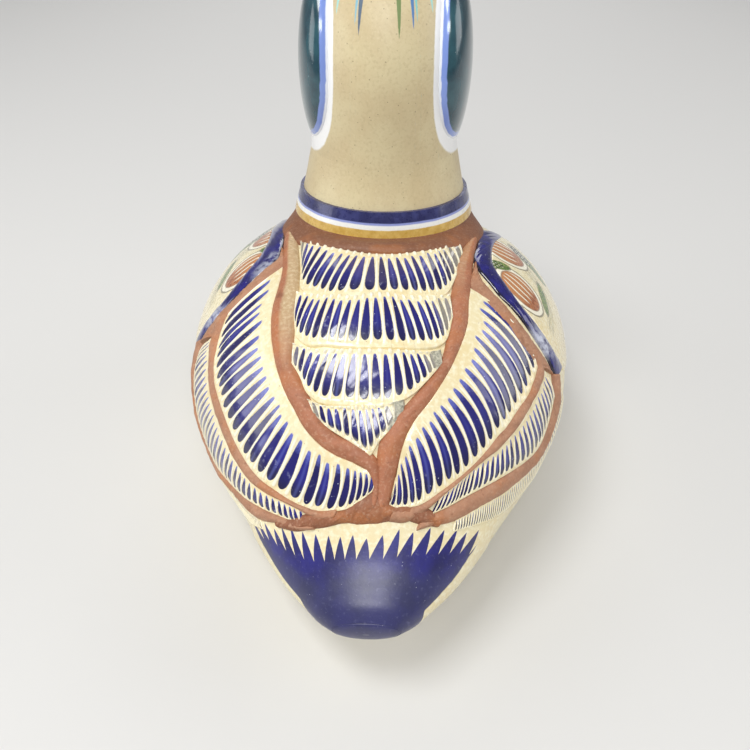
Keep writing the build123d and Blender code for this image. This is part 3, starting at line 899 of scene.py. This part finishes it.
PETALS = [((31, 49), (10.5, 7.6), 78), ((9, 57), (11, 7.4), 104)]
LEAVES = [((40, 62), (9.6, 5.0), 118, 1.0), ((16, 44.5), (6.5, 2.6), 65, 0.5), ((17, 71), (9, 2.6), 160, 0.0),
          ((35, 72), (5.5, 3.0), 100, 0.0)]
BLADES = ((2, 58), (27, 20), 0)
flower_material = flower_finish()


def flower_panel(hand, side):
    outer = [(y, side * angle) for y, angle in FLOWER_OUT]
    u = np.linspace(0, 1, 220)[:, None] + np.zeros(90)
    v = np.linspace(-0.02, 1, 90)[None, :] + 0 * u
    first, second = curve(STRIPE_OUT[hand], u), curve(outer, u)
    spots = first + (second - first) * v[..., None]
    reach = (v + 0.02) / 1.02
    inside = edge_dip(u, reach, 0.02, 0.03)
    lift = (0.95 + 0.12 * wobble(3 * u, 3 * v, 2.0)) * inside - 0.4 * (1 - inside)
    marks = {"flower_y": spots[..., 0], "flower_s": SPAN * side * spots[..., 1]}
    piece = slab(hand + "_flower_panel", spots[..., 0], spots[..., 1], lift, marks,
                 [hand + "_flower_panel"])
    piece.data.materials.append(flower_material)


flower_panel("left", -1)
flower_panel("right", 1)

# %% [markdown]
# ## The tail
# The end of the tail is dipped in cobalt, and its front edge is drawn out with the brush into saw teeth over
# the cream. The piece is one smooth cup over the joint of tail and body. Two marks carry the drawing: how far
# a spot lies from the valleys to the tips of the teeth, and the number of the tooth.

# %% Tail cup
TIPS = [(-90, -72), (-77, -74), (-70, -77), (-56, -80.5), (-39, -83.6), (-21, -84.7), (-5, -85.4), (3, -86),
        (17.5, -84.7), (32, -82.3), (40, -81.2), (52, -78), (66, -75), (77, -70.5), (90, -68)]
VALLEYS = [(-90, -78), (-64, -83), (-56, -85.5), (-46, -88), (-38, -90), (-28, -91.2), (-18, -91.8),
           (-8, -91.2), (9, -90.8), (26, -89.6), (41, -87), (55, -84.5), (70, -81), (90, -77)]
TOOTH = 7.9
TAIL_FRONT = -71.0
TAIL_TIP = -107.8
TAIL_CAP = 0.6
LINING_END = -98.0
LINING_ROWS = 30


def tail_piece():
    cap = STATIONS[0, 0] + TAIL_CAP
    shares = np.linspace(0, 1, 240)
    rings = TAIL_FRONT + (TAIL_TIP - TAIL_FRONT) * (1 - (1 - shares) ** 1.5)
    turns = np.radians(np.linspace(0, 360, 361)[:-1])
    y = rings[:, None] + 0 * turns
    angle = turns[None, :] + 0 * y
    inset = 0.35 * ease(y, TAIL_FRONT, TAIL_FRONT - 1.5) - 0.5 * ease(TAIL_FRONT - y, 1.0, 0)
    outside = lifted(np.clip(y, cap, None), angle, inset)
    outside[..., 1] = np.where(y < cap, y, outside[..., 1])
    width, middle, rise = section_at(np.clip(y, STATIONS[0, 0], None))
    past = np.clip((cap - y) / (cap - TAIL_TIP), 0, 1)
    shrink = np.sqrt(np.clip(1 - past ** 2, 0, 1))
    outside[..., 0] *= shrink
    outside[..., 2] = middle + (outside[..., 2] - middle) * shrink
    inner_y = np.linspace(TAIL_FRONT, LINING_END, LINING_ROWS)[:, None] + 0 * turns
    inside = lifted(inner_y, turns[None, :] + 0 * inner_y, np.full(inner_y.shape, -1.4))
    points = np.concatenate([outside.reshape(-1, 3), [outside[-1].mean(0)], inside.reshape(-1, 3),
                             [inside[-1].mean(0)]])
    count = len(turns)
    following = np.roll(np.arange(count), -1)
    faces = []
    for start, rows, flip in ((0, len(rings), False), (len(rings) * count + 1, LINING_ROWS, True)):
        for k in range(rows - 1):
            low, high = start + k * count, start + (k + 1) * count
            for a, b in zip(range(count), following):
                faces.append([low + a, low + b, high + b, high + a][::-1 if flip else 1])
        last, apex = start + (rows - 1) * count, start + rows * count
        faces += [[last + a, last + b, apex][::-1 if flip else 1] for a, b in zip(range(count), following)]
    inner = len(rings) * count + 1
    faces += [[a, inner + a, inner + b, b] for a, b in zip(range(count), following)]
    c, s = math.cos(-PATTERN_TURN), math.sin(-PATTERN_TURN)
    map_x = c * points[:, 0] - s * points[:, 1]
    map_y = np.clip(s * points[:, 0] + c * points[:, 1], STATIONS[0, 0], None)
    width, middle, rise = section_at(map_y)
    degrees = np.degrees(np.arctan2(map_x / width, (points[:, 2] - middle) / rise))
    tip = np.interp(degrees, *zip(*TIPS))
    valley = np.interp(degrees, *zip(*VALLEYS))
    drift = 0.5 * np.sin(degrees / 9.0) + 0.4 * np.sin(degrees / 5.3 + 1.0)
    marks = {"tooth": (map_y - valley) / (tip - valley), "strand": (degrees - 3 + drift) / TOOTH + 100.5,
             "around": degrees, "reach": map_y}
    piece = make_piece("tail", points * MM, faces, marks, ["tail"])
    piece.data.materials.append(tail_finish())


def tail_finish():
    finish = Finish("tail glaze", 0.42, coat=0.55, Coat_Roughness=0.3)
    tooth, strand = finish.mark("tooth"), finish.mark("strand")
    number = strand.whole()
    luck = finish.chance(number, 13.0)
    across = (strand - number - 0.5).size()
    level = tooth / (0.9 + 0.3 * luck)
    half = 0.52 * (1.0 - level.most(0.0)).most(0.0) ** 0.8 + 0.03 * (finish.noise(1.0) - 0.5)
    side = finish.mark("around").size()
    reach = finish.mark("reach")
    limit = 80.0 + finish.soft(reach, -98.0, -106.0) * 100.0
    on_top = finish.soft(limit - side + 3.0 * (finish.noise(4.0) - 0.5), 0.0, 1.5)
    glaze = finish.soft(half - across, -0.01, 0.03).most(finish.soft(tooth, 0.02, -0.03)) * on_top
    clouds = finish.noise(9.0, detail=4.0)
    deep = finish.blend(finish.soft(clouds, 0.3, 0.7), colour(22, 20, 84), colour(34, 32, 118))
    far = finish.soft(tooth + 0.7 * (clouds - 0.5), -0.3, -1.2)
    deep = finish.blend(far * 0.6, deep, colour(50, 52, 84))
    thin = finish.soft(tooth + 0.4 * (finish.noise(1.0) - 0.5), 0.3, 1.1)
    deep = finish.blend(thin * 0.35, deep, colour(64, 70, 156))
    # Painted reflection: pale milky patches stand in for a soft lamp reflected in the tail's glaze.
    milky = finish.patches(1.3, 0.56, 0.75, detail=5.0) * 0.3
    deep = finish.blend(milky, deep, colour(112, 114, 152))
    sparse = finish.patches(6.0, 0.45, 0.6)
    deep = finish.blend(finish.specks(1.9, 0.09, 0.03) * 0.7 * sparse, deep, colour(226, 228, 244))
    finish.set("Base Color", finish.blend(glaze, cream_ground(finish), deep))
    finish.set("Roughness", 0.36 + 0.16 * finish.noise(1.8))
    finish.bump(finish.noise(2.5) + 0.5 * finish.noise(0.8) - 0.3 * glaze, 0.35)
    return finish.material


tail_piece()

# %% [markdown]
# ## Neck and head
# The neck is burnished beige clay, satin rather than glossy, with fine dark specks. Colours are brushed on
# it: the bands of the collar, white and lavender rings round the cheeks and thin plumes that hang from the
# crown. All are set by place on the clay, so the shells stay as they are.

# %% Neck, head and cheek finishes
CHEEK_MIDDLE = (22.0, 58.0, 158.0)
CHEEK_HALF = (10.5, 26.5, 34.0)
BEIGE = colour(208, 194, 154)


def cheek_ring(finish, x, y, z):
    """1 where the clay meets the cheek's dome, more away from it."""
    parts = zip((x.size(), y, z), CHEEK_MIDDLE, CHEEK_HALF)
    total = 0.0
    for place, middle, half in parts:
        part = (place - middle) / half
        total = part * part + total
    return total ** 0.5


def beige_clay(finish):
    clouds = finish.noise(16.0)
    clay = finish.blend(finish.soft(clouds, 0.3, 0.7), BEIGE, colour(198, 180, 140))
    clay = finish.blend(finish.patches(0.9, 0.5, 0.8) * 0.3, clay, colour(220, 206, 170))
    clay = finish.blend(finish.patches(1.1, 0.52, 0.3) * 0.35, clay, colour(178, 160, 122))
    clay = finish.blend(finish.specks(2.6, 0.1, 0.05) * 0.7, clay, colour(112, 92, 70))
    return clay


def neck_finish(name, plumes):
    finish = Finish(name, 0.42, coat=0.15, Coat_Roughness=0.35)
    x, y, z = finish.place()
    paint = beige_clay(finish)
    if plumes:
        turn = finish.add("ShaderNodeMath", {"operation": "ARCTAN2"}, [x, 58.0 - y]) * 57.2958
        for spot, low, width, shade in PLUMES:
            rise = ((z - low) / 26.0).least(1.0).most(0.0)
            lean = turn - spot * (1.0 + 0.3 * rise)
            half = width * rise ** 0.7
            ink = finish.soft(half - lean.size() + 0.5 * (finish.noise(1.2) - 0.5), -0.1, 0.35)
            paint = finish.blend(ink * 0.92, paint, shade)
    ring = cheek_ring(finish, x, y, z)
    white = finish.soft(ring + 0.03 * (finish.noise(3.0) - 0.5), 1.14, 1.11)
    paint = finish.blend(white, paint, colour(240, 240, 238))
    finish.set("Base Color", paint)
    finish.set("Roughness", 0.34 + 0.22 * finish.noise(1.6) - 0.12 * white)
    finish.bump(finish.noise(0.7, detail=4.0) + 0.6 * finish.noise(5.0), 0.22)
    return finish.material


PLUMES = [(-37.0, 181.5, 5.0, colour(150, 210, 205)), (-16.0, 177.0, 3.6, colour(62, 92, 120)),
          (-19.5, 179.5, 2.8, colour(120, 180, 200)), (10.0, 176.5, 3.6, colour(96, 124, 62)),
          (20.0, 178.5, 3.4, colour(60, 118, 178)), (23.5, 180.5, 3.0, colour(118, 196, 196)),
          (38.0, 182.0, 4.6, colour(150, 210, 205)), (-62.0, 184.0, 4.5, colour(62, 92, 120)),
          (62.0, 184.0, 4.5, colour(96, 124, 62)), (-90.0, 185.0, 4.5, colour(96, 124, 62)),
          (90.0, 185.0, 4.5, colour(60, 118, 178))]


def cheek_finish():
    """Teal glaze with a lavender stripe and a white edge, by the distance from the dome's foot."""
    finish = Finish("cheek glaze", 0.18, coat=0.7, Coat_Roughness=0.1)
    foot = finish.mark("foot") + 0.5 * (finish.noise(4.0) - 0.5)
    teal = finish.blend(finish.patches(8.0, 0.3, 0.7), colour(24, 58, 70), colour(40, 82, 92))
    teal = finish.blend(finish.specks(4.0, 0.05, 0.02) * 0.7, teal, colour(150, 176, 180))
    paint = finish.blend(finish.soft(foot, 3.4, 2.9), teal, colour(126, 150, 218))
    paint = finish.blend(finish.soft(foot, 1.3, 0.8), paint, colour(232, 236, 244))
    finish.set("Base Color", paint)
    finish.set("Roughness", 0.14 + 0.14 * finish.noise(2.0))
    finish.bump(finish.noise(5.0) + 0.3 * finish.noise(1.0), 0.2)
    return finish.material


def cheek_dome(hand, side):
    """A smooth dome over the side of the head, with its distance from where the two meet."""
    head = shell_tree(["head"])
    turns = np.radians(np.linspace(0, 360, 145)[:-1])
    rise = np.linspace(-0.45, 1.0, 90)
    flat = np.cos(rise * np.pi / 2)[:, None]
    out = CHEEK_HALF[0] * np.sin(rise * np.pi / 2)[:, None] + 0 * turns
    spots = np.stack([side * (CHEEK_MIDDLE[0] + out),
                      CHEEK_MIDDLE[1] + CHEEK_HALF[1] * flat * np.cos(turns),
                      CHEEK_MIDDLE[2] + CHEEK_HALF[2] * flat * np.sin(turns)], -1)[:-1]
    steps = np.linalg.norm(np.diff(spots, axis=0), axis=-1)
    length = np.concatenate([np.zeros((1, len(turns))), np.cumsum(steps, axis=0)])
    foot = np.zeros(length.shape)
    for k in range(len(turns)):
        gap = []
        for spot in spots[:, k]:
            place, normal = head.find_nearest(Vector(spot))[:2]
            gap.append((Vector(spot) - place).dot(normal))
        buried = np.nonzero((np.array(gap) <= 0.02) & (rise[:-1] < 0.98))[0]
        foot[:, k] = length[:, k] - length[buried[-1] if len(buried) else 0, k]
    top = [side * (CHEEK_MIDDLE[0] + CHEEK_HALF[0]), CHEEK_MIDDLE[1], CHEEK_MIDDLE[2]]
    base = [spots[0, :, k].mean() for k in range(3)]
    points = np.concatenate([spots.reshape(-1, 3), [top], [base]])
    rows, count = spots.shape[:2]
    following = np.roll(np.arange(count), -1)
    faces = [[k * count + a, k * count + b, (k + 1) * count + b, (k + 1) * count + a]
             for k in range(rows - 1) for a, b in zip(range(count), following)]
    last = (rows - 1) * count
    faces += [[last + a, last + b, rows * count] for a, b in zip(range(count), following)]
    faces += [[b, a, rows * count + 1] for a, b in zip(range(count), following)]
    if side < 0:
        faces = [face[::-1] for face in faces]
    values = np.concatenate([foot.reshape(-1), [foot.max(), foot.min()]])
    piece = make_piece(hand + "_cheek", points * MM, faces, {"foot": values}, [hand + "_cheek"])
    piece.data.materials.append(cheek_material)


def collar_finish():
    """Ochre, white, lavender and navy in level bands up the collar's lean."""
    finish = Finish("collar bands", 0.24, coat=0.5, Coat_Roughness=0.1)
    x, y, z = finish.place()
    height = (z - 104.5) * math.cos(math.radians(8)) + (y - 46.0) * math.sin(math.radians(8))
    height = height + 0.5 * (finish.noise(8.0) - 0.5)
    ochre = finish.blend(finish.patches(2.5, 0.35, 0.7), colour(196, 158, 72), colour(214, 180, 98))
    navy = finish.blend(finish.patches(4.0, 0.35, 0.75), colour(32, 34, 84), colour(54, 58, 112))
    paint = finish.blend(finish.soft(height, 2.9, 3.3), ochre, colour(236, 236, 230))
    paint = finish.blend(finish.soft(height, 4.6, 5.0), paint, colour(140, 150, 206))
    paint = finish.blend(finish.soft(height, 5.4, 5.8), paint, navy)
    finish.set("Base Color", paint)
    finish.set("Roughness", 0.2 + 0.16 * finish.noise(2.0))
    finish.bump(finish.noise(1.6), 0.3)
    return finish.material


def plain_glaze(name, tone, other, rough, coat):
    finish = Finish(name, rough, coat=coat, Coat_Roughness=0.08)
    finish.set("Base Color", finish.blend(finish.patches(3.0, 0.35, 0.7), tone, other))
    finish.set("Roughness", rough + 0.12 * finish.noise(1.5))
    finish.bump(finish.noise(2.0), 0.25)
    return finish.material


neck_material = neck_finish("neck clay", False)
head_material = neck_finish("head clay", True)
cheek_material = cheek_finish()
collar_material = collar_finish()
bill_material = plain_glaze("bill ochre", colour(196, 142, 62), colour(222, 176, 96), 0.3, 0.4)
eye_material = plain_glaze("eye black", colour(14, 14, 18), colour(30, 30, 40), 0.06, 1.0)
SHELL_FINISHES = {
    "belly_shell": cream_material, "back_shell": cream_material, "neck": neck_material,
    "head": head_material, "mouth_rim": head_material, "collar": collar_material,
    "neck_ledge": ledge_material, "bill": bill_material, "left_eye": eye_material,
    "right_eye": eye_material,
}
for name, material in SHELL_FINISHES.items():
    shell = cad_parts[name]
    shell.data.materials.clear()
    shell.data.materials.append(material)
cheek_dome("left", -1)
cheek_dome("right", 1)
print("materials", len(bpy.data.materials))

# %% [markdown]
# ## Floor, light and camera
# A plain pale floor that curves up far behind, large soft lamps as in a studio, and the camera above and
# behind the bird.

# %% Stage
FLOOR_DEPTH, FLOOR_BEND, FLOOR_HALF_WIDTH = 3.0, 1.2, 4.0
FLOOR_GAP = 0.0002


def stage():
    """A flat floor and a back wall, joined by a quarter round."""
    profile = [(-FLOOR_DEPTH, 0.0)]
    for turn in np.linspace(0, math.pi / 2, 17):
        profile.append((FLOOR_DEPTH - FLOOR_BEND + FLOOR_BEND * math.sin(turn),
                        FLOOR_BEND - FLOOR_BEND * math.cos(turn)))
    profile.append((FLOOR_DEPTH, FLOOR_DEPTH))
    points = [(x, y, z - FLOOR_GAP) for y, z in profile for x in (-FLOOR_HALF_WIDTH, FLOOR_HALF_WIDTH)]
    faces = [[2 * k, 2 * k + 1, 2 * k + 3, 2 * k + 2] for k in range(len(profile) - 1)]
    mesh = bpy.data.meshes.new("floor")
    mesh.from_pydata(points, [], faces)
    mesh.shade_smooth()
    floor = bpy.data.objects.new("floor", mesh)
    bpy.context.scene.collection.objects.link(floor)
    paper = Finish("paper", 0.8)
    paper.set("Base Color", colour(214, 213, 210))
    mesh.materials.append(paper.material)


def lamp(name, place, aim, size, power, tint=(1, 1, 1)):
    data = bpy.data.lights.new(name, "AREA")
    data.shape = "RECTANGLE"
    data.size, data.size_y = size
    data.energy = power
    data.color = tint
    light = bpy.data.objects.new(name, data)
    light.location = place
    light.rotation_euler = (Vector(aim) - Vector(place)).to_track_quat("-Z", "Y").to_euler()
    bpy.context.scene.collection.objects.link(light)


MIDDLE = (0.0, 0.0, 0.08)
CAMERA_PLACE = (0.0081, -0.2337, 0.2632)
CAMERA_PITCH, CAMERA_YAW = math.radians(47.84), math.radians(2.37)
CAMERA_LENS = 36.48
stage()
lamp("key", (-0.3, -0.2, 1.0), MIDDLE, (0.45, 0.3), 5.0)
lamp("back softbox", (0.03, -0.72, 0.86), MIDDLE, (0.55, 0.22), 4.5)
lamp("left fill", (-0.95, -0.1, 0.4), MIDDLE, (0.6, 0.6), 2.6)
lamp("right fill", (0.95, 0.1, 0.45), MIDDLE, (0.6, 0.6), 2.6)
lamp("front fill", (0.0, 1.0, 0.6), MIDDLE, (0.7, 0.5), 2.6)
world = bpy.data.worlds.new("room")
bpy.context.scene.world = world
world.use_nodes = True
world.node_tree.nodes["Background"].inputs[0].default_value = (0.95, 0.96, 1.0, 1.0)
world.node_tree.nodes["Background"].inputs[1].default_value = 0.3
bpy.context.scene.view_settings.view_transform = "Standard"

camera_data = bpy.data.cameras.new("camera")
camera_data.lens = CAMERA_LENS
camera_data.sensor_width = 36.0
camera_data.clip_start = 0.01
camera = bpy.data.objects.new("camera", camera_data)
camera.location = CAMERA_PLACE
camera.rotation_euler = (CAMERA_PITCH, 0.0, CAMERA_YAW)
bpy.context.scene.collection.objects.link(camera)
bpy.context.scene.camera = camera
print("camera at", [round(v, 3) for v in camera.location])
